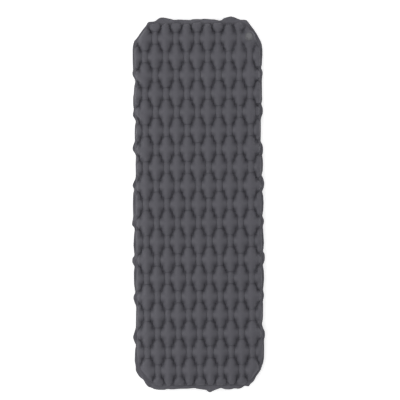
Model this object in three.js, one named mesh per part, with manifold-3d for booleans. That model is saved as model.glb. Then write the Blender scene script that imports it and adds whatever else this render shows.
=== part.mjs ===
// Inflatable sleeping pad, rectangular with cut corners, welded into a diamond
// lattice of cells, with a flat two-stage valve in one head-end corner.
// Millimetres. Origin at the centre of the underside, +X to the sleeper's left
// when lying on the back with the head at +Y, +Z up.

import * as THREE from 'three';
import { mergeVertices } from 'three/addons/utils/BufferGeometryUtils.js';
import Module from 'manifold-3d';

const wasm = await Module();
wasm.setup();
const { Manifold, Mesh } = wasm;

// ------------------------------------------------------------ pad dimensions
const THICK = 60;             // inflated thickness over the cell tops
const HALF_WIDTH = 320;       // over the welded edge
const HALF_LENGTH = 915;      // over the welded edge
const WELD_HALF_LENGTH = 896; // to the inner side of the welded rim
const MID_Z = THICK / 2;      // height of the welds between the two sheets
const SHEET = 0.9;            // sheet thickness, measured straight up
const WELD_GAP = 0.15;        // half of the gap kept between the sheets at a weld
const RIM_Z = MID_Z + WELD_GAP + SHEET; // upper face of the flat welded rim
const ROLL_TOP = THICK + 0.4; // top of the rolled edge, just clear of the cell tops
const EDGE_ROLL = 13;         // how far in from the edge weld the sheet reaches full height
const SHEET_FLOOR = 22;       // foot of the upright body that a sheet is hollowed from

// The cells stand at every second crossing of the columns and rows.
const COLUMN_PITCH = 51.7;
const ROW_PITCH = 91.0;
const COLUMN_REACH = 8;       // columns laid out on each side of the centre
const ROW_REACH = 11;         // rows laid out on each side of the centre
// Slit weld ends, from the cell centre: near the cell's own row, and the mirror
// image of that, near the next row.
const SLIT_NEAR = { x: 34.25, y: 22.8 };
const SLIT_FAR = { x: COLUMN_PITCH - SLIT_NEAR.x, y: ROW_PITCH - SLIT_NEAR.y };
const SLIT_Z = RIM_Z + 0.05;
const CELL_TOP = { x: 21, y: 19 }; // half size of the flat top of a cell
const SADDLE_Z = 47;          // midway between neighbouring cells of a column or row

// ---------------------------------------------------------- valve dimensions
const VALVE_X = 257;          // valve axis
const VALVE_Y = 823;
const VALVE_ANGLE = 35.7;     // degrees from +X, towards the cut corner
const VALVE_CELL = { column: 5, row: 9 };
const HOLE_R = 21.5;          // hole in the top sheet
const COLLAR_R = 32.5;        // foot of the cone of sheet that carries the valve near the rim
const FLANGE_R = 21.2;        // valve base flange
const NECK_BORE_R = 14.0;     // socket of the base
const NECK_R = 15.8;
const LIP_R = 11.9;           // bore through the floor of the socket
const PORT_R = 9.0;           // mouthpiece bore in the plug
const LID_R = 16.9;           // plug lid
const LID_Z = 61.2;           // underside of the plug lid
const CAP_R = 12.2;           // inflation cap
const CAP_Z = 64.6;           // underside of the cap's rim
const PLUG_HINGE_X = 18.9;    // along the valve's own +X, towards the corner
const CAP_HINGE_X = -14.2;    // away from the corner

// Facets around a turned piece.
const SEGMENTS = 32;
const COLLAR_SEGMENTS = 48;
const FLAP_SEGMENTS = 28;
const STUD_SEGMENTS = 16;

// ------------------------------------------------------------------- helpers
// a closed manifold from a geometry, turned right side out
function solid(geometry) {
  geometry.deleteAttribute('normal');
  geometry.deleteAttribute('uv');
  const merged = mergeVertices(geometry, 1e-4);
  const vertProperties = new Float32Array(merged.getAttribute('position').array);
  const corners = merged.index.array;
  const build = (flip) => {
    const list = [];
    for (let t = 0; t < corners.length; t += 3) {
      const [first, second, third] = corners.slice(t, t + 3);
      // merging leaves collapsed triangles, such as those on a lathe's axis
      if (first === second || second === third || third === first) continue;
      list.push(first, ...(flip ? [third, second] : [second, third]));
    }
    return new Manifold(new Mesh({
      numProp: 3, vertProperties, triVerts: new Uint32Array(list),
    }));
  };
  const body = build(false);
  return body.volume() < 0 ? build(true) : body;
}

function toGeometry(body) {
  const { vertProperties, numProp, triVerts } = body.getMesh();
  const count = vertProperties.length / numProp;
  const positions = new Float32Array(count * 3);
  for (let i = 0; i < count; i++) {
    for (let k = 0; k < 3; k++) positions[3 * i + k] = vertProperties[i * numProp + k];
  }
  const geometry = new THREE.BufferGeometry();
  geometry.setAttribute('position', new THREE.BufferAttribute(positions, 3));
  geometry.setIndex(new THREE.BufferAttribute(new Uint32Array(triVerts), 1));
  geometry.computeVertexNormals();
  return geometry;
}

// a turned piece about +Z: the profile is a loop of [radius, height], either
// clear of the axis or starting and ending on it
function turned(profile, segments = SEGMENTS) {
  const points = profile.map(([radius, height]) => new THREE.Vector2(radius, height));
  if (profile[0][0] > 0) points.push(points[0].clone());
  return solid(new THREE.LatheGeometry(points, segments).rotateX(Math.PI / 2));
}

// a turned ring of rectangular section
function ring(innerR, outerR, z0, z1, segments) {
  return turned([[innerR, z0], [outerR, z0], [outerR, z1], [innerR, z1]], segments);
}

// a box centred on y = 0
function bar(x0, x1, width, z0, z1) {
  const box = new THREE.BoxGeometry(x1 - x0, width, z1 - z0);
  return solid(box.translate((x0 + x1) / 2, 0, (z0 + z1) / 2));
}

function extruded(shape, z0, z1, curveSegments) {
  const options = { depth: z1 - z0, bevelEnabled: false, curveSegments };
  return solid(new THREE.ExtrudeGeometry(shape, options).translate(0, 0, z0));
}

const shapeOf = (outline) => new THREE.Shape(outline.map(([x, y]) => new THREE.Vector2(x, y)));

function plate(outline, z0, z1) {
  return extruded(shapeOf(outline), z0, z1, 1);
}

// a thick plate with its top at z1 and both faces rounded in from the outline
function roundedPlate(outline, z1, rise, inset) {
  const depth = 10;
  const geometry = new THREE.ExtrudeGeometry(shapeOf(outline), {
    depth,
    bevelEnabled: true,
    bevelSegments: 2,
    bevelThickness: rise,
    bevelSize: inset,
    bevelOffset: -inset,
  });
  return solid(geometry.translate(0, 0, z1 - rise - depth));
}

// a flat tongue: straight sides from x = 0, half-round end at +length
function tongue(length, width, z0, z1) {
  const radius = width / 2;
  const shape = new THREE.Shape();
  shape.moveTo(0, -radius);
  shape.lineTo(length - radius, -radius);
  shape.absarc(length - radius, 0, radius, -Math.PI / 2, Math.PI / 2, false);
  shape.lineTo(0, radius);
  shape.closePath();
  return extruded(shape, z0, z1, 8);
}

// -------------------------------------------------- the welded cell lattice
// bounds of a cell's flat top: x and y as [low, high]
function flatTopBounds(column, row) {
  if (column === VALVE_CELL.column && row === VALVE_CELL.row) {
    return {
      x: [VALVE_X - 25.5, VALVE_X + 25.5],
      y: [VALVE_Y - 24.5, VALVE_Y + 25.5],
    };
  }
  const x = column * COLUMN_PITCH;
  const y = row * ROW_PITCH;
  return { x: [x - CELL_TOP.x, x + CELL_TOP.x], y: [y - CELL_TOP.y, y + CELL_TOP.y] };
}

// Each cell is a long hexagon held down by four slit-shaped welds. Its facets
// join the flat top to the slit ends and to the saddles. sx and sy are the
// sides, -1 or 1.
function cellTriangles(column, row) {
  const bounds = flatTopBounds(column, row);
  const from = (dx, dy, z) => [column * COLUMN_PITCH + dx, row * ROW_PITCH + dy, z];
  const top = (sx, sy) => [bounds.x[sx < 0 ? 0 : 1], bounds.y[sy < 0 ? 0 : 1], THICK];
  const slitEnd = (end, sx, sy) => from(sx * end.x, sy * end.y, SLIT_Z);
  const saddleX = (sx) => from(sx * COLUMN_PITCH, 0, SADDLE_Z);
  const saddleY = (sy) => from(0, sy * ROW_PITCH, SADDLE_Z);

  const triangles = [
    [top(-1, -1), top(1, -1), top(1, 1)],
    [top(-1, -1), top(1, 1), top(-1, 1)],
  ];
  for (const side of [-1, 1]) {
    triangles.push([top(-1, side), top(1, side), saddleY(side)]);
    triangles.push([top(side, -1), top(side, 1), saddleX(side)]);
  }
  for (const sx of [-1, 1]) {
    for (const sy of [-1, 1]) {
      const corner = top(sx, sy);
      const near = slitEnd(SLIT_NEAR, sx, sy);
      const far = slitEnd(SLIT_FAR, sx, sy);
      triangles.push([corner, near, far], [corner, far, saddleY(sy)]);
      triangles.push([corner, near, saddleX(sx)]);
    }
  }
  return triangles;
}

function latticeTriangles() {
  const triangles = [];
  for (let row = -ROW_REACH; row <= ROW_REACH; row++) {
    for (let column = -COLUMN_REACH; column <= COLUMN_REACH; column++) {
      if ((column + row) % 2 === 0) triangles.push(...cellTriangles(column, row));
    }
  }
  return triangles;
}

// everything below the lattice surface, lowered by drop, down to floor
function underLattice(drop, floor) {
  const indexByPlace = new Map();
  const points = [];
  const indexOf = ([x, y, z]) => {
    const place = `${Math.round(x * 100)},${Math.round(y * 100)}`;
    if (!indexByPlace.has(place)) {
      indexByPlace.set(place, points.length);
      points.push([x, y, z - drop]);
    }
    return indexByPlace.get(place);
  };
  // every facet anticlockwise seen from above
  const faces = latticeTriangles().map(([p0, p1, p2]) => {
    const turn = (p1[0] - p0[0]) * (p2[1] - p0[1]) - (p1[1] - p0[1]) * (p2[0] - p0[0]);
    return (turn > 0 ? [p0, p1, p2] : [p0, p2, p1]).map(indexOf);
  });

  // the floor repeats the points, each offset by count in the index
  const count = points.length;
  const positions = [...points, ...points.map(([x, y]) => [x, y, floor])].flat();
  const indices = [];
  const openEdges = new Map(); // edges with a facet on one side only
  for (const [v0, v1, v2] of faces) {
    indices.push(v0, v1, v2, count + v0, count + v2, count + v1);
    for (const [start, end] of [[v0, v1], [v1, v2], [v2, v0]]) {
      if (!openEdges.delete(`${end},${start}`)) openEdges.set(`${start},${end}`, [start, end]);
    }
  }
  for (const [start, end] of openEdges.values()) {
    indices.push(start, count + start, count + end, start, count + end, end);
  }
  const geometry = new THREE.BufferGeometry();
  geometry.setAttribute('position', new THREE.BufferAttribute(new Float32Array(positions), 3));
  geometry.setIndex(indices);
  return solid(geometry);
}

// ------------------------------------------------------------- the outlines
// [x, y] along the +X side, from the foot end to the head end
const EDGE_SIDE = [
  [225, -912], [254, -891], [277, -863], [300, -832], [314, -792],
  [HALF_WIDTH, -752], [HALF_WIDTH, 758],
  [316, 792], [301, 822], [247, 903], [230, 912],
];
const WELD_SIDE = [
  [219, -894], [246, -875], [267, -850], [290, -820],
  [311.5, -745], [311.5, 752],
  [307, 786], [292, 817], [242, 889], [224, 895],
];

// the whole outline from its +X side and the y of its ends on the centre line
function mirrored(side, endY) {
  const otherSide = side.map(([x, y]) => [-x, y]).reverse();
  return [[0, -endY], ...side, [0, endY], ...otherSide];
}

const EDGE_LINE = mirrored(EDGE_SIDE, HALF_LENGTH);
const WELD_LINE = mirrored(WELD_SIDE, WELD_HALF_LENGTH);
const BEYOND_EDGE = [[-360, -960], [360, -960], [360, 960], [-360, 960]];

// --------------------------------------------------------------- the sheets
// the rolled edge, lowered by drop, with the valve's collar where there is one
function rolledEdge(drop, carriesValve) {
  const cushion = roundedPlate(WELD_LINE, ROLL_TOP - drop, ROLL_TOP - RIM_Z, EDGE_ROLL);
  if (!carriesValve) return cushion;
  const footZ = RIM_Z - drop;
  const collar = turned([
    [0, footZ - 4], [COLLAR_R, footZ - 4], [COLLAR_R, footZ],
    [FLANGE_R + 1.6, ROLL_TOP - drop], [0, ROLL_TOP - drop],
  ], COLLAR_SEGMENTS);
  return cushion.add(collar.translate([VALVE_X, VALVE_Y, 0]));
}

// One sheet: the skin between an outer surface and the same surface lowered by
// the sheet's thickness. Each surface is the lower of the cell lattice and the
// rolled edge that comes down to the flat welded rim.
function sheet(carriesValve) {
  const outer = plate(EDGE_LINE, SHEET_FLOOR, RIM_Z)
    .add(rolledEdge(0, carriesValve))
    .add(plate(WELD_LINE, SHEET_FLOOR, RIM_Z - 1))
    .intersect(underLattice(0, 10));
  const inner = plate(BEYOND_EDGE, 0, RIM_Z - SHEET)
    .add(rolledEdge(SHEET, carriesValve))
    .add(plate(WELD_LINE, 0, RIM_Z - SHEET - 1))
    .intersect(underLattice(SHEET, -6));
  return outer.subtract(inner);
}

// the largest connected part, without loose slivers
function largestPart(body) {
  const parts = body.decompose().sort((one, other) => other.volume() - one.volume());
  return parts[0].asOriginal().simplify(0.02);
}

function topSheet() {
  const hole = turned([[0, 50], [HOLE_R, 50], [HOLE_R, 70], [0, 70]], COLLAR_SEGMENTS);
  return largestPart(sheet(true).subtract(hole.translate([VALVE_X, VALVE_Y, 0])));
}

function bottomSheet() {
  return largestPart(sheet(false).mirror([0, 0, 1]).translate([0, 0, THICK]));
}

// --------------------------------------------------------------- the valve
// Drawn about the valve's own axis: +X points to the cut corner, z is the
// height above the ground. Profiles are [radius, height].

// flange at the cell top, socket with an inward lip, and the plug tether's anchor bar
function valveBase() {
  return turned([
    [LIP_R, 51.0], [NECK_R, 51.0], [NECK_R, 59.0], [FLANGE_R, 59.0], [FLANGE_R, 60.3],
    [NECK_R + 0.5, 60.3], [NECK_R, 60.9], [NECK_BORE_R, 60.9], [NECK_BORE_R, 52.0],
    [LIP_R, 52.0],
  ]).add(bar(PLUG_HINGE_X + 0.2, PLUG_HINGE_X + 1.9, 7.2, 59.8, 62.1));
}

// disc across the foot of the mouthpiece bore, with four windows and a stud hole
function grille() {
  const windowR = { inner: 3.4, outer: 7.0 };
  const halfSpoke = 0.24; // radians at the outer arc
  const innerInset = 0.16; // further radians at each end of the inner arc
  const windows = [0, 1, 2, 3].map((k) => {
    const start = (k * Math.PI) / 2 + halfSpoke;
    const end = ((k + 1) * Math.PI) / 2 - halfSpoke;
    const shape = new THREE.Shape();
    shape.absarc(0, 0, windowR.outer, start, end, false);
    shape.absarc(0, 0, windowR.inner, end - innerInset, start + innerInset, true);
    shape.closePath();
    return extruded(shape, 53, 59, 4);
  });
  return ring(1.3, PORT_R + 0.5, 55.2, 56.6).subtract(Manifold.union(windows));
}

// The whole inner unit, pulled out of the socket to let the air out. Its skirt
// tapers so that it clears the socket as it swings.
function deflatePlug() {
  const body = turned([
    [PORT_R, 55.2], [PORT_R + 1.4, 55.2], [PORT_R + 1.4, 60.4], [11.6, 60.4],
    [11.4, 53.7], [12.6, 53.7], [13.2, 56.0], [13.5, 58.0], [13.5, LID_Z],
    [LID_R, LID_Z], [LID_R, 62.3], [LID_R - 0.5, 62.8],
    [PORT_R + 2.0, 62.8], [PORT_R + 1.8, 64.3], [PORT_R, 64.3],
  ]);
  // finger tab on the side away from the plug's hinge
  const tab = tongue(5.4, 9, LID_Z, 62.4).translate([LID_R - 1.6, 0, 0]).rotate([0, 0, 180]);
  const capAnchor = bar(CAP_HINGE_X - 1.8, CAP_HINGE_X - 0.2, 7, 62.0, 65.3);
  return body.add(grille()).add(tab).add(capAnchor);
}

// headed at both ends, it carries the check flap under the grille
function flapStud() {
  return turned([
    [0, 51.6], [2.6, 51.6], [2.6, 52.4], [1.0, 52.4],
    [1.0, 56.9], [2.4, 56.9], [2.4, 57.6], [0, 57.6],
  ], STUD_SEGMENTS);
}

// a lid with a short stem that stops the mouthpiece bore, and a finger tab
function inflationCap() {
  return turned([
    [0, 63.6], [6.6, 63.6], [6.6, 60.4], [8.2, 60.4], [8.2, 61.4], [7.5, 61.4],
    [7.5, 62.8], [8.4, 62.8], [8.4, CAP_Z], [CAP_R, CAP_Z], [CAP_R, 65.8],
    [CAP_R - 0.6, 66.4], [4.5, 66.4], [3.5, 66.0], [0, 66.0],
  ]).add(tongue(4.6, 8, 64.8, 65.8).translate([CAP_R - 1.4, 0, 0]));
}

const baseSeal = () => ring(12.0, 13.7, 52.3, 53.4);
const capSeal = () => ring(7.8, 8.6, 61.7, 62.5);
const checkFlap = () => ring(1.4, 8.5, 54.2, 54.9, FLAP_SEGMENTS);

// thin straps between each lid and its hinge line
const plugTether = () => bar(LID_R + 0.3, PLUG_HINGE_X - 0.2, 8.4, LID_Z, 62.2);
const capTether = () => bar(CAP_HINGE_X + 0.2, -CAP_R - 0.3, 7, CAP_Z, 65.4);

// ---------------------------------------------------------------- the pieces
const LOOKS = {
  fabric: { color: 0x58575d, roughness: 0.62 },
  base: { color: 0x6e6f74, roughness: 0.5 },
  lid: { color: 0x7a7b80, roughness: 0.45 },
  silicone: { color: 0x3c3d40, roughness: 0.7 },
  tether: { color: 0x5f6065, roughness: 0.6 },
  flap: { color: 0xb9bbbd, roughness: 0.55 },
};

function piece(name, body, look) {
  const material = new THREE.MeshStandardMaterial({ ...look, metalness: 0 });
  const mesh = new THREE.Mesh(toGeometry(body), material);
  mesh.name = name;
  return mesh;
}

function valveUnit() {
  const valve = new THREE.Group();
  valve.name = 'valve_unit';
  valve.position.set(VALVE_X, VALVE_Y, 0);
  valve.rotation.z = (VALVE_ANGLE * Math.PI) / 180;
  valve.add(
    piece('valve_base', valveBase(), LOOKS.base),
    piece('base_seal_ring', baseSeal(), LOOKS.silicone),
    piece('deflate_plug', deflatePlug(), LOOKS.lid),
    piece('plug_tether', plugTether(), LOOKS.tether),
    piece('check_flap', checkFlap(), LOOKS.flap),
    piece('flap_stud', flapStud(), LOOKS.lid),
    piece('inflation_cap', inflationCap(), LOOKS.lid),
    piece('cap_seal_ring', capSeal(), LOOKS.silicone),
    piece('cap_tether', capTether(), LOOKS.tether),
  );
  return valve;
}

const pad = new THREE.Group();
pad.name = 'sleeping_pad';
pad.add(
  piece('bottom_sheet', bottomSheet(), LOOKS.fabric),
  piece('top_sheet', topSheet(), LOOKS.fabric),
  valveUnit(),
);

export default pad;
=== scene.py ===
# An inflatable sleeping pad lying flat, head towards +Y, top towards +Z, with a valve near its
# cut +X +Y corner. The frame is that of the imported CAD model, in metres. Shapes are worked out
# in millimetres and scaled by MM when their meshes are made.
import math
from functools import partial

import bpy
import numpy as np
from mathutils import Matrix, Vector


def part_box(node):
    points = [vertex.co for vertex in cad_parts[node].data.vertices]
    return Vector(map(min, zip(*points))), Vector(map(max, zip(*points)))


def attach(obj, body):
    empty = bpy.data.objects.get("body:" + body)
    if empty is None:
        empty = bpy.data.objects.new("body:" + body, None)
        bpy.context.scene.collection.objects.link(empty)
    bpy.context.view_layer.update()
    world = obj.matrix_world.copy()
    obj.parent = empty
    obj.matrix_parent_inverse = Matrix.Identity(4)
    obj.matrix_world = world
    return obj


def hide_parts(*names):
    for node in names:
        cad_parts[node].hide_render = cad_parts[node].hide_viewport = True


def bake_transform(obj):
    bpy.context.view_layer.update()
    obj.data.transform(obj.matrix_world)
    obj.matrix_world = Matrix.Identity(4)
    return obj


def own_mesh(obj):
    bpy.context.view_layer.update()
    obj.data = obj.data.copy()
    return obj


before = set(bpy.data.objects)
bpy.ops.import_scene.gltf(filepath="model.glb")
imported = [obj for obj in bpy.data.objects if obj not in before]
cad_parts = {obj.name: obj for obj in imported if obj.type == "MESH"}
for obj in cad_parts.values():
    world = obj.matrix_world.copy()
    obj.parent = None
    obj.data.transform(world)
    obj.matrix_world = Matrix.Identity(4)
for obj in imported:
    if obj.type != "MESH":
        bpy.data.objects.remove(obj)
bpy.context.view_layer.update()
MM = 0.001

# ---------------------------------------------------------------- dimensions (mm)
PITCH_X, PITCH_Y = 51.7, 91.0          # spacing of the cell columns and rows
ZIGZAG = 8.4                           # half the sideways run of a mesh line along a slit weld
STEPS_X, STEPS_Y = 16, 24              # mesh steps to a column and to a row
HALF_COLS, HALF_ROWS = 6.375, 10.25    # half size of the grid
SLIT_X, SLIT_Y = 6.1, 16.5             # half run of a slit weld's middle line
SLIT_HALF = 2.6                        # half width of a slit weld, as shaded
WELD_Z = 30.0                          # height of the weld plane
SKIN = 0.2                             # each sheet's rim stands this far off the weld plane
MIN_RIM = 6.0                          # least width of the rim weld

ring_lo, ring_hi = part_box("base_seal_ring")
VALVE_X = (ring_lo.x + ring_hi.x) / 2 / MM
VALVE_Y = (ring_lo.y + ring_hi.y) / 2 / MM
VALVE_TURN = math.radians(35.7)        # direction from the valve to the cut corner
VALVE_ROOM = 33.0                      # the rim weld keeps this far from the valve's axis
SEAT_R, HOLE_R = 23.0, 18.0            # the sheet runs on under the valve flange
SEAT_Z = 28.6                          # height of the seat above the weld plane

# The trimmed edge: (x, y), counterclockwise from the foot.
EDGE = [
    # foot
    (-240, -903), (-228, -910), (-200, -914), (-175, -914), (-160, -910), (-145, -912),
    (-100, -909), (-60, -909), (-30, -906), (-10, -911), (10, -914), (28, -916), (36, -921),
    (42, -927), (52, -927), (62, -922), (72, -917), (88, -912), (100, -907), (112, -910),
    (125, -914), (150, -914), (168, -909), (190, -912), (205, -907), (219, -897), (232, -900),
    (241, -901),
    # +X corner of the foot
    (246, -890), (259, -880), (267, -870), (272, -860), (277, -850), (285, -840), (292, -830),
    (299, -820), (303, -808), (307, -796), (312, -784),
    # +X side
    (316, -760), (317, -710), (317, -672), (322, -652), (321, -630), (312, -610), (307, -592),
    (311, -578), (313, -555), (314, -500), (313, -480), (319, -456), (318, -441), (314, -425),
    (317, -405), (320, -370), (319, -330), (314, -301), (322, -286), (325, -270), (324, -248),
    (315, -233), (319, -220), (321, -190), (318, -135), (316, -111), (322, -94), (322, -78),
    (314, -61), (319, -32), (321, 5), (319, 42), (314, 60), (322, 77), (326, 100), (321, 124),
    (312, 141), (318, 160), (320, 190), (319, 222), (316, 240), (320, 252), (321, 272),
    (318, 292), (309, 306), (310, 330), (311, 380), (311, 415), (315, 430), (321, 446),
    (322, 462), (320, 477), (314, 491), (319, 510), (318, 540), (318, 610), (321, 632),
    (323, 645), (321, 656), (314, 670), (319, 685), (320, 712), (322, 735), (322, 762),
    # +X corner of the head
    (319, 786), (315, 800), (308, 812), (300, 828), (290, 845), (281, 859), (272, 871),
    (262, 884), (252, 898),
    # head
    (246, 905), (235, 909), (213, 909), (200, 915), (185, 921), (168, 925), (146, 920),
    (131, 916), (123, 907), (112, 905), (90, 911), (60, 913), (32, 916), (20, 912), (10, 914),
    (-20, 914), (-32, 910), (-50, 911), (-90, 912), (-112, 910), (-130, 916), (-150, 921),
    (-165, 924), (-180, 923), (-190, 918), (-200, 908), (-211, 903), (-238, 902),
    # -X corner of the head
    (-245, 896), (-249, 886), (-256, 877), (-270, 860), (-285, 839), (-299, 819), (-309, 811),
    (-313, 799),
    # -X side
    (-316, 786), (-318, 766), (-318, 700), (-317, 664), (-321, 650), (-319, 638), (-309, 621),
    (-306, 607), (-312, 582), (-314, 552), (-318, 530), (-318, 490), (-315, 470), (-320, 450),
    (-320, 438), (-312, 427), (-305, 413), (-310, 390), (-312, 350), (-311, 314), (-318, 299),
    (-323, 284), (-322, 269), (-312, 256), (-306, 242), (-309, 200), (-308, 152), (-310, 130),
    (-317, 116), (-324, 100), (-325, 91), (-317, 79), (-318, 69), (-322, 57), (-324, 0),
    (-323, -60), (-326, -73), (-330, -99), (-318, -111), (-316, -121), (-320, -150),
    (-323, -200), (-319, -240), (-318, -250), (-329, -262), (-330, -280), (-327, -291),
    (-318, -302), (-322, -330), (-322, -392), (-317, -424), (-316, -433), (-324, -447),
    (-326, -461), (-320, -481), (-312, -500), (-314, -560), (-315, -604), (-323, -631),
    (-329, -648), (-328, -660), (-321, -679), (-315, -691), (-320, -718), (-322, -770),
    (-317, -798),
    # -X corner of the foot
    (-318, -811), (-315, -822), (-309, -832), (-304, -842), (-295, -852), (-282, -860),
    (-276, -868), (-270, -881), (-262, -891), (-253, -900),
]
# The weld line round the +X corners: (x, y), going towards +Y. The -X corners mirror them.
WELD_FOOT = [(219, -892), (246, -874), (266, -850), (289, -820), (304, -784)]
WELD_HEAD = [(309, 778), (305, 790), (291, 817), (242, 888), (224, 894)]


# ---------------------------------------------------------------- outlines
def smooth_closed(points, times):
    for _ in range(times):
        points = (np.roll(points, 1, 0) + 2 * points + np.roll(points, -1, 0)) / 4
    return points


def resample(points, step=2.5):
    loop = np.vstack([points, points[:1]])
    run = np.r_[0, np.cumsum(np.linalg.norm(np.diff(loop, axis=0), axis=1))]
    stops = np.linspace(0, run[-1], int(run[-1] / step), endpoint=False)
    return np.stack([np.interp(stops, run, loop[:, 0]), np.interp(stops, run, loop[:, 1])], 1)


def nearest(line, x, y, band=14.0):
    """Signed distance (positive inside) to a closed line and the nearest point's x and y,
    exact within the band."""
    x, y = np.asarray(x, float), np.asarray(y, float)
    inside = np.zeros(x.shape, bool)
    dist, near_x, near_y = np.full(x.shape, 1e3), x.copy(), y.copy()
    for (x0, y0), (x1, y1) in zip(line, np.roll(line, -1, 0)):
        dx, dy = x1 - x0, y1 - y0
        level = (y0 > y) != (y1 > y)
        if level.any():
            inside[level] ^= x[level] < x0 + (y[level] - y0) * dx / dy
        close = (np.abs(x - (x0 + x1) / 2) < band + 3) & (np.abs(y - (y0 + y1) / 2) < band + 3)
        if not close.any():
            continue
        xc, yc = x[close], y[close]
        share = np.clip(((xc - x0) * dx + (yc - y0) * dy) / (dx * dx + dy * dy), 0, 1)
        foot_x, foot_y = x0 + share * dx, y0 + share * dy
        gap = np.hypot(xc - foot_x, yc - foot_y)
        better = gap < dist[close]
        for kept, new in ((dist, gap), (near_x, foot_x), (near_y, foot_y)):
            kept[close] = np.where(better, new, kept[close])
    return np.where(inside, dist, -dist), near_x, near_y


def from_valve(x, y):
    return np.hypot(x - VALVE_X, y - VALVE_Y)


def weld_line(edge):
    """The inner edge of the rim weld, where the sheets part."""
    side_y = np.arange(-752, 753, 4.0)
    side_x = 309.5 + 1.2 * np.cos(np.pi * side_y / PITCH_Y)
    end_x = np.arange(-208, 209, 4.0)
    end_y = 894.0 + 1.5 * np.cos(np.pi * end_x / PITCH_X)
    right = WELD_FOOT + list(zip(side_x, side_y)) + WELD_HEAD
    line = (list(zip(end_x, -end_y)) + right + list(zip(end_x[::-1], end_y[::-1]))
            + [(-x, y) for x, y in right[::-1]])
    line = smooth_closed(resample(np.array(line, float)), 6)
    # leave the least rim
    dist, near_x, near_y = nearest(edge, line[:, 0], line[:, 1], 30)
    inward = (line - np.stack([near_x, near_y], 1)) * np.sign(dist)[:, None]
    inward /= np.maximum(np.linalg.norm(inward, axis=1), 1e-6)[:, None]
    line = line + inward * np.maximum(MIN_RIM - dist, 0)[:, None]
    # make room for the valve
    valve = np.array((VALVE_X, VALVE_Y))
    arm = line - valve
    reach = np.linalg.norm(arm, axis=1)[:, None]
    return smooth_closed(np.where(reach < VALVE_ROOM, valve + arm / reach * VALVE_ROOM, line), 5)


# ---------------------------------------------------------------- the cloth
SPARE = (1.29, 1.05)      # flat cloth as a share of what it spans once puffed, across and along
PUFF = 1.14               # height scale that brings the cell tops to the full thickness
PUFF_UNDER = PUFF * 1.04  # the same for the bottom sheet
SEAT_H = SEAT_Z / PUFF    # height of the valve seat before that scaling
NO_ROOF = 99.0
DAMPING = 0.9             # share of its speed the cloth keeps each step
SQUEEZE = 0.1             # resistance of a link to shortening, as a share of that to stretching
PASSES = 2                # passes over the links in each step
BEND_COARSE, BEND_FINE = 0.02, 0.008   # smoothing each step
# (mesh coarseness, steps, pressures one after another)
STAGES = ((2, 500, (0.5, 0.3, 0.2)), (1, 300, (0.15, 0.08)))


def warp(col, row):
    """Grid places to mm, with the columns zigzagging so slit welds lie on mesh lines."""
    line = np.round(row).astype(int)
    swing = ZIGZAG * (1 - np.clip((np.abs(row - line) - 0.25) / 0.25, 0, 1))
    phase = ((col + 1) % 2) - 1
    size = np.abs(phase)
    zigzag = np.where(size <= 0.5, 2 * phase, np.sign(phase) * 2 * (1 - size))
    zigzag = np.where(np.abs(col) > 6, 0, zigzag)
    return PITCH_X * col + swing * np.where(line % 2 == 0, 1.0, -1.0) * zigzag, PITCH_Y * row


def noise(x, y, scale, seed):
    rng = np.random.RandomState(seed)
    waves = 14
    total = 0
    for _ in range(waves):
        angle = rng.uniform(0, 2 * np.pi)
        rate = rng.uniform(0.6, 1.6) / scale
        phase = rng.uniform(0, 2 * np.pi)
        total = total + np.sin((x * np.cos(angle) + y * np.sin(angle)) * rate * 2 * np.pi + phase)
    return total / np.sqrt(waves / 2)


def slit_bars(x, y):
    """Distance to the middle line of the cell's slit weld, and the run along it."""
    i, j = np.floor(x / PITCH_X), np.floor(y / PITCH_Y)
    mid_x, mid_y = (i + 0.5) * PITCH_X, (j + 0.5) * PITCH_Y
    lean = np.where((i + j) % 2 == 0, -1.0, 1.0)
    dx, dy = x - mid_x, y - mid_y
    run = (dx * lean * SLIT_X + dy * SLIT_Y) / (SLIT_X ** 2 + SLIT_Y ** 2)
    on_line = np.clip(run, -1, 1)
    dist = np.hypot(dx - on_line * lean * SLIT_X, dy - on_line * SLIT_Y)
    missing = (from_valve(mid_x, mid_y) < 52) & (mid_x > VALVE_X)   # the valve's place
    return np.where(missing, 60.0, dist), run * np.hypot(SLIT_X, SLIT_Y) + j * 37.0


def threads(cloth, slack):
    """The cloth's links, along, across and diagonal: (row step, column step, rest lengths)."""
    links = []
    for di, dj, start, end in (
        (0, 1, np.s_[:, :-1], np.s_[:, 1:]), (1, 0, np.s_[:-1], np.s_[1:]),
        (1, 1, np.s_[:-1, :-1], np.s_[1:, 1:]), (1, -1, np.s_[:-1, 1:], np.s_[1:, :-1]),
    ):
        gap = cloth[end] - cloth[start]
        rest = np.sqrt((gap * gap).sum(-1)) * (slack[start] + slack[end]) / 2
        links.append((di, dj, rest.astype(np.float32)))
    return links


def link_batches(links, free):
    """Links in batches: (start, end, rest, the start's share of the move, the end's)."""
    ny, nx = free.shape
    columns = {0: (slice(None), slice(None)), 1: (slice(0, nx - 1), slice(1, nx)),
               -1: (slice(1, nx), slice(0, nx - 1))}
    batches = []
    for di, dj, rest in links:
        for odd in (0, 1):
            if di == 0:
                start, end = np.s_[:, odd:nx - 1:2], np.s_[:, odd + 1:nx:2]
                own = start
            else:
                own = slice(odd, ny - 1, 2)
                start = (own, columns[dj][0])
                end = (slice(odd + 1, ny, 2), columns[dj][1])
            total = np.where(free[start] + free[end] == 0, 1, free[start] + free[end])
            batches.append((start, end, rest[own], free[start] / total, free[end] / total))
    return batches


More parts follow.
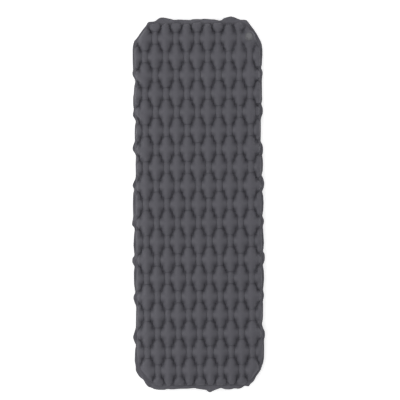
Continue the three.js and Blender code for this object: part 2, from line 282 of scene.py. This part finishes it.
def relax(points, pinned, links, steps, pressures, bend, roof):
    """Position-based cloth under pressure. A link hardly resists being pressed together, so
    spare cloth puckers."""
    pos = [np.ascontiguousarray(points[..., k], dtype=np.float32) for k in range(3)]
    free = (~pinned).astype(np.float32)
    speed = [np.zeros_like(pos[0]) for _ in range(3)]
    batches = link_batches(links, free)
    for step in range(steps):
        push = pressures[step * len(pressures) // steps] / 48.0
        across, along = [], []
        for c in pos:
            slope = np.zeros_like(c)
            slope[:, 1:-1] = c[:, 2:] - c[:, :-2]
            across.append(slope)
            slope = np.zeros_like(c)
            slope[1:-1] = c[2:] - c[:-2]
            along.append(slope)
        normal = [across[i] * along[j] - across[j] * along[i] for i, j in ((1, 2), (2, 0), (0, 1))]
        old = pos
        pos = [c + (v * DAMPING + n * push) * free for c, v, n in zip(pos, speed, normal)]
        for _ in range(PASSES):
            for start, end, rest, start_share, end_share in batches:
                dx, dy, dz = (c[end] - c[start] for c in pos)
                strain = 1 - rest / (np.sqrt(dx * dx + dy * dy + dz * dz) + 1e-6)
                strain = np.maximum(strain, strain * SQUEEZE)
                start_move, end_move = strain * start_share, strain * end_share
                for c, gap in zip(pos, (dx, dy, dz)):
                    c[start] += gap * start_move
                    c[end] -= gap * end_move
        for c in pos:
            curl = np.zeros_like(c)
            curl[:, 1:-1] += (c[:, 2:] + c[:, :-2]) * 0.5 - c[:, 1:-1]
            curl[1:-1] += (c[2:] + c[:-2]) * 0.5 - c[1:-1]
            c += curl * (bend * free)
        np.clip(pos[2], 0, roof, out=pos[2])
        speed = [c - o for c, o in zip(pos, old)]
    return np.stack(pos, -1)


def stacked(x, y, z):
    return np.stack([x, y, 0 * x + z], -1)


def first_dome(x, y, flat, seat):
    z = np.where(flat, 0, 10.0)
    for _ in range(70):
        new = z.copy()
        new[1:-1, 1:-1] = (z[1:-1, 2:] + z[1:-1, :-2] + z[2:, 1:-1] + z[:-2, 1:-1]) / 4 + 0.9
        new[flat] = 0
        new[seat] = SEAT_H
        z = new
    return stacked(x, y, z)


def refined(coarse, x, y, flat, seat):
    """The coarse cloth on a grid of half the step, pinned points back in place."""
    fine = np.zeros(x.shape + (3,))
    fine[::2, ::2] = coarse
    fine[1::2, ::2] = (fine[:-1:2, ::2] + fine[2::2, ::2]) / 2
    fine[:, 1::2] = (fine[:, :-1:2] + fine[:, 2::2]) / 2
    fine = np.where(flat[..., None], stacked(x, y, 0), fine)
    return np.where(seat[..., None], stacked(x, y, SEAT_H), fine)


def inflate(weld, valve, roof, seed):
    """One puffed sheet, with heights above the weld plane, and its flat grid's x and y.
    It presses against a flat plate at the roof."""
    cloth = None
    for coarse, steps, pressures in STAGES:
        per_col, per_row = STEPS_X // coarse, STEPS_Y // coarse
        nx = int(round(2 * HALF_COLS * per_col)) + 1
        ny = int(round(2 * HALF_ROWS * per_row)) + 1
        col, row = np.meshgrid((np.arange(nx) - (nx - 1) / 2) / per_col,
                               (np.arange(ny) - (ny - 1) / 2) / per_row)
        x, y = warp(col, row)
        inner, weld_x, weld_y = nearest(weld, x, y)
        on_weld = np.abs(inner) < 0.49 * PITCH_X / per_col
        x, y = np.where(on_weld, weld_x, x), np.where(on_weld, weld_y, y)
        # the slit welds, by mesh steps from the middle of the cell
        dx, dy = np.abs((col % 1.0) - 0.5) * per_col, np.abs((row % 1.0) - 0.5) * per_row
        if coarse == 1:
            slit = ((dx < 0.5) & (dy < 4.5)) | ((dx < 1.5) & (dy > 2.5) & (dy < 4.5))
        else:
            slit = (dx < 0.5) & (dy < 2.5)
        slit &= (inner > 0) & (slit_bars(x, y)[0] < 15)
        flat = (inner < 0) | on_weld | slit
        seat = valve & (from_valve(x, y) < SEAT_R)
        if cloth is None:
            cloth = first_dome(x, y, flat, seat)
        else:
            cloth = refined(cloth, x, y, flat, seat)
        slack = 1 + 0.018 * noise(x, y, 80, seed) + 0.009 * noise(x, y, 26, seed + 5)
        # cut closer round the valve
        slack = slack * (1 - 0.15 * np.exp(-((x - VALVE_X) ** 2 + (y - VALVE_Y) ** 2) / 72.0 ** 2))
        links = threads(np.stack([x * SPARE[0], y * SPARE[1]], -1), slack)
        if valve:
            # the sheet is formed as a cone between the valve and the rim beside it
            inner = np.maximum(inner, 0)
            outer = np.maximum(from_valve(x, y) - SEAT_R, 0)
            cone = threads(stacked(x, y, SEAT_H * inner / (inner + outer + 1e-6)),
                           np.full(x.shape, 1.02))
            links = [(di, dj, np.maximum(rest, least))
                     for (di, dj, rest), (_, _, least) in zip(links, cone)]
        bend = BEND_COARSE if coarse > 1 else BEND_FINE
        cloth = relax(cloth, flat | seat, links, steps, pressures, bend, roof)
    return cloth, x, y


# ---------------------------------------------------------------- sheet meshes
def link_object(name, data):
    ob = bpy.data.objects.new(name, data)
    bpy.context.scene.collection.objects.link(ob)
    return ob


def mesh_object(name, verts, faces, smooth=True):
    mesh = bpy.data.meshes.new(name)
    mesh.from_pydata(verts, [], faces)
    mesh.validate()
    mesh.polygons.foreach_set("use_smooth", [smooth] * len(mesh.polygons))
    mesh.update()
    return link_object(name, mesh)


def grid_mesh(name, points, keep, attributes, lip, flip):
    """A mesh of the grid's kept quads. Open edges get a narrow lip, down or up to the
    heights in lip."""
    ny, nx = points.shape[:2]
    ids = np.arange(ny * nx).reshape(ny, nx)
    quads = np.stack([ids[:-1, :-1], ids[:-1, 1:], ids[1:, 1:], ids[1:, :-1]], -1)[keep]
    open_edges = {}
    for i, j in ((0, 1), (1, 2), (2, 3), (3, 0)):
        for start, end in quads[:, [i, j]]:
            if (end, start) in open_edges:
                del open_edges[(end, start)]
            else:
                open_edges[(start, end)] = True
    used = np.unique(quads)
    index = np.full(ny * nx, -1)
    index[used] = np.arange(len(used))
    border = sorted({int(p) for pair in open_edges for p in pair})
    lip_index = {p: len(used) + k for k, p in enumerate(border)}
    lip_points = points.reshape(-1, 3)[border].copy()
    lip_points[:, 2] = lip.reshape(-1)[border]
    verts = np.vstack([points.reshape(-1, 3)[used], lip_points])
    faces = index[quads].tolist()
    for start, end in open_edges:
        faces.append([int(index[start]), lip_index[start], lip_index[end], int(index[end])])
    if flip:
        faces = [face[::-1] for face in faces]
    ob = mesh_object(name, (verts * MM).tolist(), faces)
    for key, field in attributes.items():
        values = np.r_[field.reshape(-1)[used], field.reshape(-1)[border]].astype(np.float32)
        ob.data.attributes.new(key, "FLOAT", "POINT").data.foreach_set("value", values)
    return ob


def build_sheets():
    edge = smooth_closed(resample(np.array(EDGE, float)), 4)
    weld = weld_line(edge)
    top, x, y = inflate(weld, True, NO_ROOF, seed=3)
    bottom, _, _ = inflate(weld, False, (WELD_Z - SKIN - 0.1) / PUFF_UNDER, seed=9)
    # the trimmed edge cuts the grid, and points on the cut are drawn onto it
    mid_x, mid_y = ((c[:-1, :-1] + c[:-1, 1:] + c[1:, 1:] + c[1:, :-1]) / 4 for c in (x, y))
    keep = nearest(edge, mid_x, mid_y)[0] > 0
    count = np.zeros(x.shape, int)
    ends = (slice(None, -1), slice(1, None))
    for rows in ends:
        for cols in ends:
            count[rows, cols] += keep
    border = (count > 0) & (count < 4)
    _, edge_x, edge_y = nearest(edge, x, y)
    x, y = np.where(border, edge_x, x), np.where(border, edge_y, y)
    inner, weld_x, weld_y = nearest(weld, x, y, 45)
    trim = nearest(edge, x, y, 20)[0]
    # the rim ripples a little, the same on both sheets, and more at the head and foot
    outward = np.clip(-inner / 9.0, 0, 2.0)
    at_ends = np.clip((np.abs(y) - 830) / 50, 0, 1)
    ripple = outward * ((2.0 + 0.7 * at_ends) * np.tanh(noise(x, y, 105, 21))
                        + 0.8 * np.tanh(noise(x, y, 34, 22)))
    bar, along = slit_bars(x, y)
    around = np.abs(np.arctan2(weld_x / 320, weld_y / 915)) * 640
    hole = from_valve(mid_x, mid_y) < HOLE_R
    lip = WELD_Z + ripple
    top_lip = np.where(from_valve(x, y) < HOLE_R + 4, WELD_Z + SEAT_Z - 0.6, lip)
    sheets = []
    for name, cloth, side, puff, kept, lip_z in (
        ("top_sheet_fabric", top, 1, PUFF, keep & ~hole, top_lip),
        ("bottom_sheet_fabric", bottom, -1, PUFF_UNDER, keep, lip),
    ):
        height = cloth[..., 2] * puff
        cloth[..., 0] = np.where(border, edge_x, cloth[..., 0])
        cloth[..., 1] = np.where(border, edge_y, cloth[..., 1])
        cloth[..., 2] = WELD_Z + ripple + side * (SKIN + height)
        attributes = {"bar": np.clip(bar, 0, 60), "rim": np.clip(inner, -30, 60),
                      "trim": np.clip(trim, 0, 60), "along": along, "around": around,
                      "rise": height / 30}
        sheets.append(grid_mesh(name, cloth, kept, attributes, lip_z, flip=side < 0))
    return sheets


top_sheet, bottom_sheet = build_sheets()


# ---------------------------------------------------------------- materials
def new_material(name):
    mat = bpy.data.materials.new(name)
    mat.use_nodes = True
    return mat, mat.node_tree, mat.node_tree.nodes["Principled BSDF"]


def add(tree, kind, **values):
    """A node, with each value put in the input of that name or else the property."""
    node = tree.nodes.new(kind)
    for key, value in values.items():
        if key in node.inputs:
            node.inputs[key].default_value = value
        else:
            setattr(node, key, value)
    return node


def feed(tree, socket, value):
    """Links a socket, or sets a number or an RGB colour."""
    if isinstance(value, bpy.types.NodeSocket):
        tree.links.new(value, socket)
    else:
        socket.default_value = (*value, 1) if isinstance(value, (tuple, list)) else value


def feed_inputs(tree, node, values):
    for key, value in values.items():
        feed(tree, node.inputs[key], value)


def math_node(tree, operation, first, second=None, clamp=False):
    node = add(tree, "ShaderNodeMath", operation=operation, use_clamp=clamp)
    feed(tree, node.inputs[0], first)
    if second is not None:
        feed(tree, node.inputs[1], second)
    return node.outputs[0]


def mix_color(tree, share, first, second):
    node = add(tree, "ShaderNodeMix", data_type="RGBA")
    feed_inputs(tree, node, {0: share, 6: first, 7: second})
    return node.outputs[2]


def fabric(name, color, seed):
    """Coated nylon: plain weave, puckers square to every weld, pressed welds, soft sheen."""
    mat, tree, shader = new_material(name)
    link = tree.links.new
    calc = partial(math_node, tree)
    times = partial(calc, "MULTIPLY")
    plus = partial(calc, "ADD")
    minus = partial(calc, "SUBTRACT")
    place = add(tree, "ShaderNodeTexCoord").outputs["Object"]
    bar, rim, along, around, rise, trim = (
        add(tree, "ShaderNodeAttribute", attribute_name=key).outputs["Fac"]
        for key in ("bar", "rim", "along", "around", "rise", "trim"))

    def falloff(value, start, rate):
        return minus(start, times(value, rate), clamp=True)

    def cloud(scale, detail=3.0, rough=0.5, distortion=0.0, offset=0.0):
        tex = add(tree, "ShaderNodeTexNoise", Scale=scale, Detail=detail, Roughness=rough,
                  Distortion=distortion)
        shift = add(tree, "ShaderNodeMapping", Location=(offset + seed, seed * 0.7, 0))
        link(place, shift.inputs["Vector"])
        link(shift.outputs[0], tex.inputs["Vector"])
        return tex.outputs["Fac"]

    def dyed(factor):
        return [v * factor for v in color]

    def tint(base, share, shade):
        return mix_color(tree, share, base, dyed(shade))

    def wave(value, pitch, shift=None):
        turn = times(value, 2 * math.pi / pitch)
        return calc("SINE", turn if shift is None else plus(turn, shift))

    def puckers(run, gap, height, offset):
        """Waves along a weld that die away from it. Pitches in mm, height in metres."""
        jitter = cloud(scale=30.0, detail=2.0, offset=offset)
        long_wave = wave(run, pitch=7.3, shift=times(jitter, 14.0))
        short_wave = wave(run, pitch=4.1, shift=times(jitter, 17.0))
        gap = calc("MAXIMUM", gap, 0.0)
        decay, onset = 0.19, 0.25      # per mm from the weld
        fade = calc("POWER", 2.718, times(gap, -decay))
        fade = times(fade, times(gap, onset, clamp=True))
        return times(times(plus(long_wave, times(short_wave, 0.45)), fade), height)

    bar_gap = minus(bar, SLIT_HALF)
    weld = falloff(calc("MINIMUM", bar_gap, rim), start=0.6, rate=1.4)
    big = cloud(scale=4.0)
    mid = cloud(scale=38.0, detail=4.0, rough=0.6)
    fine = cloud(scale=420.0, detail=2.0)

    # colour: slow fading of the dye, blotches, paler crests and welds, painted shade in the rim
    # weld's crease, a darker cut edge
    shown = mix_color(tree, big, dyed(0.92), dyed(1.09))
    shown = tint(shown, times(minus(mid, 0.45, clamp=True), 0.9), shade=0.82)
    crest = calc("POWER", calc("MAXIMUM", rise, 0.0), 2.0)
    shown = tint(shown, times(crest, 0.16, clamp=True), shade=1.5)
    shown = tint(shown, times(weld, 0.5), shade=1.22)
    # painted shade: a dark line where the sheet rises off the rim weld, standing in for the shade
    # in that crease
    painted_crease_shade = falloff(calc("ABSOLUTE", minus(rim, 0.4)), start=1.0, rate=0.5)
    shown = tint(shown, times(painted_crease_shade, 0.5), shade=0.4)
    shown = tint(shown, times(falloff(trim, start=1.0, rate=0.36), 0.85), shade=0.22)

    # rough cloth with blotches, the welds pressed smoother
    rough = minus(plus(0.47, times(mid, 0.2)), times(weld, 0.1))
    feed_inputs(tree, shader, {
        "Base Color": shown, "Roughness": rough, "Specular IOR Level": 0.3,
        "Sheen Weight": 0.1, "Sheen Roughness": 0.45, "Sheen Tint": (0.8, 0.8, 0.9)})

    # heights in metres
    pucker = plus(puckers(along, bar_gap, height=0.00040, offset=3.0),
                  puckers(around, rim, height=0.00055, offset=9.0))
    crumple = times(cloud(scale=70.0, distortion=1.2, offset=5.0), 0.0009)
    crumple = plus(crumple, times(fine, 0.00003))
    xyz = add(tree, "ShaderNodeSeparateXYZ")
    link(place, xyz.inputs[0])
    x, y = xyz.outputs[0], xyz.outputs[1]
    thread = 0.0007
    weave = times(times(wave(x, thread), wave(y, thread)), 0.000018)
    grain = 0.0021                     # diagonal grain pressed into the welds
    knurl = times(wave(plus(x, y), grain), wave(minus(x, y), grain))
    knurl = times(times(knurl, weld), 0.00007)
    height = plus(plus(pucker, crumple), plus(weave, knurl))
    height = minus(height, times(weld, 0.00035))
    bump = add(tree, "ShaderNodeBump", Strength=1.0, Distance=1.0)
    link(height, bump.inputs["Height"])
    link(bump.outputs[0], shader.inputs["Normal"])
    return mat


def plastic(name, color, rough):
    """Moulded plastic or rubber with faint blotches and a fine grain."""
    mat, tree, shader = new_material(name)
    place = add(tree, "ShaderNodeTexCoord").outputs["Object"]
    blotch = add(tree, "ShaderNodeTexNoise", Scale=45.0, Detail=4.0)
    grain = add(tree, "ShaderNodeTexNoise", Scale=900.0, Detail=2.0)
    bump = add(tree, "ShaderNodeBump", Strength=0.3, Distance=0.0003)
    for tex in (blotch, grain):
        tree.links.new(place, tex.inputs["Vector"])
    tree.links.new(grain.outputs["Fac"], bump.inputs["Height"])
    blotch = blotch.outputs["Fac"]
    dark, light = ([c * shade for c in color] for shade in (0.88, 1.1))
    spread = math_node(tree, "MULTIPLY", blotch, 0.14)
    feed_inputs(tree, shader, {
        "Base Color": mix_color(tree, blotch, dark, light),
        "Roughness": math_node(tree, "ADD", rough - 0.06, spread),
        "Normal": bump.outputs[0], "Specular IOR Level": 0.45})
    return mat


SLATE = (0.109, 0.107, 0.124)
m_top = fabric("coated_nylon_top", SLATE, seed=1)
m_bottom = fabric("coated_nylon_bottom", tuple(c * 0.8 for c in SLATE), seed=2)
m_base = plastic("valve_base_tpu", (0.152, 0.151, 0.163), rough=0.5)
m_lid = plastic("valve_lid_plastic", (0.195, 0.195, 0.206), rough=0.4)
m_soft = plastic("valve_tether_tpu", (0.11, 0.11, 0.12), rough=0.6)
m_seal = plastic("seal_silicone", (0.05, 0.05, 0.055), rough=0.55)
m_flap = plastic("flap_silicone", (0.45, 0.46, 0.47), rough=0.5)

for ob, mat, node, slot in ((top_sheet, m_top, "top_sheet", "top_fabric"),
                            (bottom_sheet, m_bottom, "bottom_sheet", "bottom_fabric")):
    ob.data.materials.append(mat)
    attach(ob, "pad")
    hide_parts(node)
    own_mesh(ob)


# ---------------------------------------------------------------- valve shapes
# In mm about the valve's axis, x towards the cut corner, z from the CAD frame's origin.
def rounded(points, radius, closed=True):
    """The polygon with each corner turned into a small arc. An open line keeps its ends."""
    points = [np.array(p, float) for p in points]
    out = []
    for k, p in enumerate(points):
        if not closed and k in (0, len(points) - 1):
            out.append(p)
            continue
        back, ahead = points[k - 1] - p, points[(k + 1) % len(points)] - p
        back_len, ahead_len = np.linalg.norm(back), np.linalg.norm(ahead)
        cut = min(radius, 0.45 * back_len, 0.45 * ahead_len)
        if abs(back[0] * ahead[1] - back[1] * ahead[0]) < 0.03 * back_len * ahead_len:
            out.append(p)
            continue
        for t in np.linspace(0, 1, 5):
            out.append(p + back / back_len * cut * (1 - t) ** 2 + ahead / ahead_len * cut * t ** 2)
    return out


def shell(verts, faces):
    """A closed shell with its faces turned outwards."""
    v = np.array(verts, float)
    volume = sum(np.dot(v[f[0]], np.cross(v[f[i]], v[f[i + 1]]))
                 for f in faces for i in range(1, len(f) - 1))
    return v, ([f[::-1] for f in faces] if volume < 0 else faces)


def lathe(profile, corner=0.3, steps=112, closed=True, knurl=None):
    """A shape turned from (radius, z) points. An open profile starts and ends on the axis.
    knurl = (from radius, count, depth) ribs the outside."""
    profile = rounded(profile, corner, closed)
    angle = np.arange(steps) * 2 * np.pi / steps
    verts, rings, faces = [], [], []
    for radius, z in profile:
        if radius < 1e-6:
            rings.append([len(verts)] * steps)
            verts.append((0, 0, z))
            continue
        ring = np.full(steps, radius)
        if knurl and radius > knurl[0]:
            start, count, depth = knurl
            rib = depth * (0.5 - 0.5 * np.cos(angle * count))
            ring = ring - rib * min(1, (radius - start) / 0.3)
        rings.append(list(range(len(verts), len(verts) + steps)))
        verts += list(zip(ring * np.cos(angle), ring * np.sin(angle), [z] * steps))
    for k in range(len(rings) if closed else len(rings) - 1):
        low, high = rings[k], rings[(k + 1) % len(rings)]
        for i in range(steps):
            j = (i + 1) % steps
            face = list(dict.fromkeys((low[i], low[j], high[j], high[i])))
            if len(face) > 2:
                faces.append(face)
    return shell(verts, faces)


def tube_faces(rings, n):
    return [[k * n + i, k * n + (i + 1) % n, (k + 1) * n + (i + 1) % n, (k + 1) * n + i]
            for k in range(rings - 1) for i in range(n)]


def slab(plan, bottom, top, corner=0.3):
    """A plate of the given plan with rounded edges."""
    plan = np.array(plan, float)
    x, y = plan.T
    run = np.roll(plan, -1, 0) - np.roll(plan, 1, 0)
    out = np.stack([run[:, 1], -run[:, 0]], 1)
    out /= np.maximum(np.linalg.norm(run, axis=1), 1e-9)[:, None]
    if (x * np.roll(y, -1) - y * np.roll(x, -1)).sum() < 0:
        out = -out
    turn = np.linspace(0, math.pi / 2, 5)
    levels = [(bottom + corner * (1 - math.cos(a)), corner * (1 - math.sin(a))) for a in turn]
    levels += [(top - corner * (1 - math.sin(a)), corner * (1 - math.cos(a))) for a in turn]
    n = len(plan)
    verts = [(px, py, z) for z, inset in levels for px, py in plan - out * inset]
    faces = tube_faces(len(levels), n)
    faces += [list(range(n))[::-1], [(len(levels) - 1) * n + i for i in range(n)]]
    return shell(verts, faces)


def tab(start, end, half, corner, bow=None):
    """The plan of a rounded rectangle along x, or with an end bowed by the given depth."""
    if bow:
        bow = math.copysign(bow, end - start)
        points = [(end - bow + bow * math.sin(a), -half * math.cos(a))
                  for a in np.linspace(0, math.pi, 13)]
    else:
        points = [(end, -half), (end, half)]
    return rounded([(start, -half)] + points + [(start, half)], corner)


def strap(start, end, z, half, thick, neck):
    """A flat moulded strap along x, wide and thick at both ends and thin at the neck."""
    stations, n = np.linspace(start, end, 61), 20
    verts = []
    for x in stations:
        t = min(1, abs(x - neck) / 1.5)
        t = t * t * (3 - 2 * t)
        width, height = half * (0.8 + 0.2 * t), thick / 2 * (0.62 + 0.38 * t)
        for k in range(n):
            angle = 2 * np.pi * (k + 0.5) / n
            c, s = math.cos(angle), math.sin(angle)
            verts.append((x, width * np.sign(c) * abs(c) ** 0.35,
                          z + height * np.sign(s) * abs(s) ** 0.6))
    faces = tube_faces(len(stations), n)
    faces += [list(range(n)), [(len(stations) - 1) * n + k for k in range(n)][::-1]]
    return shell(verts, faces)


def spokes(inner, outer, half, bottom, top, count):
    bar = rounded([(inner, -half), (outer, -half), (outer, half), (inner, half)], 0.2)
    return [slab([(x * math.cos(a) - y * math.sin(a), x * math.sin(a) + y * math.cos(a))
                  for x, y in bar], bottom, top, corner=0.2)
            for a in (np.arange(count) + 0.5) * 2 * math.pi / count]


def placed(x, y, z):
    """From the valve's mm to the CAD frame's metres."""
    c, s = math.cos(VALVE_TURN), math.sin(VALVE_TURN)
    return (VALVE_X + x * c - y * s) * MM, (VALVE_Y + x * s + y * c) * MM, z * MM


def part(name, shells, mat, node, body=None):
    verts, faces = [], []
    for points, polygons in shells:
        faces += [[int(i) + len(verts) for i in polygon] for polygon in polygons]
        verts += points.tolist()
    ob = mesh_object(name, np.stack(placed(*np.array(verts).T), 1).tolist(), faces)
    ob.data.set_sharp_from_angle(angle=math.radians(38))
    ob.data.materials.append(mat)
    if body:
        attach(ob, body)
    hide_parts(node)
    return ob


# ---------------------------------------------------------------- valve pieces
def valve_base():
    """The welded flange and its socket, with the tether's lug."""
    return [
        lathe([(14.0, 60.9), (15.8, 60.9), (15.8, 60.3), (17.4, 60.3), (17.5, 60.05),
               (18.0, 60.05), (18.1, 60.3), (19.1, 60.3), (19.2, 60.05), (19.7, 60.05),
               (19.8, 60.3), (21.2, 60.1), (21.2, 59.0), (15.8, 59.0), (15.8, 51.0),
               (11.9, 51.0), (11.9, 52.0), (14.0, 52.0)], steps=144),
        slab(tab(19.1, 20.8, half=3.6, corner=0.5), 59.7, 62.1, corner=0.35)]


def deflate_plug():
    """The ribbed plug, a grille across its bore, a pull tab at -x with three ridges."""
    shells = [
        lathe([(16.9, 62.8), (16.9, 61.2), (13.6, 61.2), (13.5, 58.0), (13.2, 53.7), (11.4, 53.7),
               (11.4, 60.9), (10.4, 60.9), (10.4, 55.2), (9.0, 55.2), (9.0, 64.3), (11.0, 64.3),
               (11.0, 62.9), (12.4, 62.8), (15.4, 62.8), (15.6, 62.65), (16.0, 62.65),
               (16.2, 62.8)], corner=0.28, steps=288, knurl=(16.4, 48, 0.22))]
    shells += [lathe([(inner, 55.2), (outer, 55.2), (outer, 56.6), (inner, 56.6)], corner=0.25)
               for inner, outer in ((7.0, 9.3), (1.2, 3.4))]
    shells += [
        slab(tab(-15.0, -20.7, half=4.5, corner=0.3, bow=3.0), 61.2, 62.4, corner=0.35),
        slab(tab(-14.45, -16.0, half=3.5, corner=0.4), 62.2, 65.25, corner=0.35)]
    shells += [slab(tab(-17.6 - k, -18.05 - k, half=3.1 - 0.35 * k, corner=0.15),
                    62.2, 62.65, corner=0.15) for k in (0, 0.9, 1.8)]
    return shells + spokes(inner=3.0, outer=7.4, half=0.9, bottom=55.3, top=56.5, count=4)


def inflation_cap():
    """The ribbed cap, with a tab at +x and two ridges on it."""
    shells = [
        lathe([(0, 65.75), (6.0, 65.75), (8.6, 65.95), (9.6, 66.4), (12.2, 66.1), (12.2, 64.6),
               (8.4, 64.6), (8.4, 62.8), (7.5, 62.8), (7.5, 61.4), (8.2, 61.4), (8.2, 60.4),
               (6.4, 60.4), (6.2, 63.6), (0, 63.6)],
              steps=224, closed=False, knurl=(11.8, 36, 0.2)),
        slab(tab(11.0, 15.4, half=4.0, corner=0.3, bow=2.6), 64.8, 65.8)]
    shells += [slab(tab(12.9 + k, 13.3 + k, half=2.6 - 0.35 * k, corner=0.15),
                    65.6, 66.02, corner=0.13) for k in (0, 0.8)]
    return shells


part("valve_base_moulding", valve_base(), m_base, "valve_base", "valve")
part("deflate_plug_lid", deflate_plug(), m_lid, "deflate_plug", "plug")
part("inflation_cap_lid", inflation_cap(), m_lid, "inflation_cap", "cap")

base_seal = lathe([(12.0, 52.5), (12.4, 52.3), (13.3, 52.3), (13.7, 52.5), (13.7, 53.2),
                   (13.3, 53.4), (12.4, 53.4), (12.0, 53.2)], corner=0.35)
part("base_seal_o_ring", [base_seal], m_seal, "base_seal_ring", "valve")
cap_seal = lathe([(7.8, 61.9), (8.0, 61.7), (8.4, 61.7), (8.6, 61.9), (8.6, 62.3), (8.4, 62.5),
                  (8.0, 62.5), (7.8, 62.3)], corner=0.2)
part("cap_seal_o_ring", [cap_seal], m_seal, "cap_seal_ring", "cap")
flap = lathe([(1.4, 54.2), (1.4, 54.9), (3.2, 54.9), (6.9, 54.75), (7.1, 54.9), (7.6, 54.9),
              (8.5, 54.75), (8.5, 54.5), (7.4, 54.2)], corner=0.15)
part("check_flap_disc", [flap], m_flap, "check_flap", "flap")
stud = lathe([(0, 51.6), (2.0, 51.7), (2.6, 52.1), (2.5, 52.4), (1.0, 52.5), (1.0, 56.8),
              (2.4, 56.9), (2.2, 57.4), (0, 57.6)], corner=0.2, steps=48, closed=False)
part("flap_stud_pin", [stud], m_lid, "flap_stud", "plug")

TETHER_Z, CAP_TETHER_Z = 62.2, 65.4
tether = strap(16.2, 20.7, TETHER_Z, half=3.4, thick=0.85, neck=18.9)
ob = part("plug_tether_strap", [tether], m_soft, "plug_tether")
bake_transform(ob)
tether = strap(-11.5, -15.9, CAP_TETHER_Z, half=2.9, thick=0.75, neck=-14.2)
ob = part("cap_tether_strap", [tether], m_soft, "cap_tether")
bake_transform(ob)

# ---------------------------------------------------------------- stage, light, camera (metres)
FLOOR_HALF, FLOOR_Z = 9, -0.0005
GLOW, GLOW_START, GLOW_RATE = 0.55, 1.3, 0.5    # the floor's glow doubles away from the pad
LAMP_SIZE = 1.8
WORLD_LIGHT, WORLD_SEEN = 0.38, 1.2             # as a light, and as the camera sees it
CAMERA_Z, FOCUS_Z, VIEW_SPAN = 8.0, 0.045, 1.969   # the view's long side spans this at FOCUS_Z
SENSOR = 36                                     # mm
# (name, direction from +X and elevation in degrees, distance, height of the aim, watts)
LAMPS = (("side_right", 0, 30, 4.2, 0.7, 23), ("side_left", 165, 25, 4.2, 0.7, 13),
         ("key", 188, 27, 4.2, 0.7, 37), ("low_left", 232, 45, 4.2, 0.7, 23),
         ("foot", 270, 40, 4.2, 0.7, 5), ("head", 90, 50, 3.8, 0.9, 25))


def build_floor():
    corners = [(x * FLOOR_HALF, y * FLOOR_HALF, FLOOR_Z)
               for x, y in ((-1, -1), (1, -1), (1, 1), (-1, 1))]
    floor = mesh_object("floor", corners, [(0, 1, 2, 3)], smooth=False)
    mat, tree, shader = new_material("floor_pale")
    calc = partial(math_node, tree)
    far = add(tree, "ShaderNodeVectorMath", operation="LENGTH")
    tree.links.new(add(tree, "ShaderNodeTexCoord").outputs["Object"], far.inputs[0])
    beyond = calc("SUBTRACT", far.outputs["Value"], GLOW_START)
    extra = calc("MULTIPLY", calc("MULTIPLY", beyond, GLOW_RATE, clamp=True), GLOW)
    feed_inputs(tree, shader, {
        "Base Color": (0.9, 0.9, 0.9), "Roughness": 0.9, "Specular IOR Level": 0.0,
        "Emission Color": (1, 1, 1), "Emission Strength": calc("ADD", extra, GLOW)})
    floor.data.materials.append(mat)


def build_lamp(name, azimuth, elevation, distance, aim, power):
    """A square lamp pointing at the spot `aim` along +Y, the centre of its orbit."""
    light = bpy.data.lights.new(name, "AREA")
    light.shape = "RECTANGLE"
    light.size = light.size_y = LAMP_SIZE
    light.energy = power
    lamp = link_object(name, light)
    turn, tilt = math.radians(azimuth), math.radians(elevation)
    place = (distance * math.cos(turn) * math.cos(tilt),
             distance * math.sin(turn) * math.cos(tilt) + aim, distance * math.sin(tilt))
    lamp.location = place
    look = Vector((0, aim, 0)) - Vector(place)
    lamp.rotation_euler = look.to_track_quat("-Z", "Y").to_euler()


def build_world():
    world = bpy.data.worlds.new("studio")
    world.use_nodes = True
    tree = world.node_tree
    seen = add(tree, "ShaderNodeLightPath").outputs["Is Camera Ray"]
    extra = math_node(tree, "MULTIPLY", seen, WORLD_SEEN - WORLD_LIGHT)
    feed_inputs(tree, tree.nodes["Background"], {
        0: (1, 1, 1), 1: math_node(tree, "ADD", WORLD_LIGHT, extra)})
    bpy.context.scene.world = world


def build_camera():
    data = bpy.data.cameras.new("camera")
    data.sensor_width = SENSOR
    data.lens = SENSOR * (CAMERA_Z - FOCUS_Z) / VIEW_SPAN
    data.clip_end = 100
    camera = link_object("camera", data)
    camera.location = (0.0074, 0.0211, CAMERA_Z)
    camera.rotation_euler = (0, 0, math.radians(-0.53))
    bpy.context.scene.camera = camera


build_floor()
for lamp_values in LAMPS:
    build_lamp(*lamp_values)
build_world()
bpy.context.scene.view_settings.view_transform = "Standard"
build_camera()
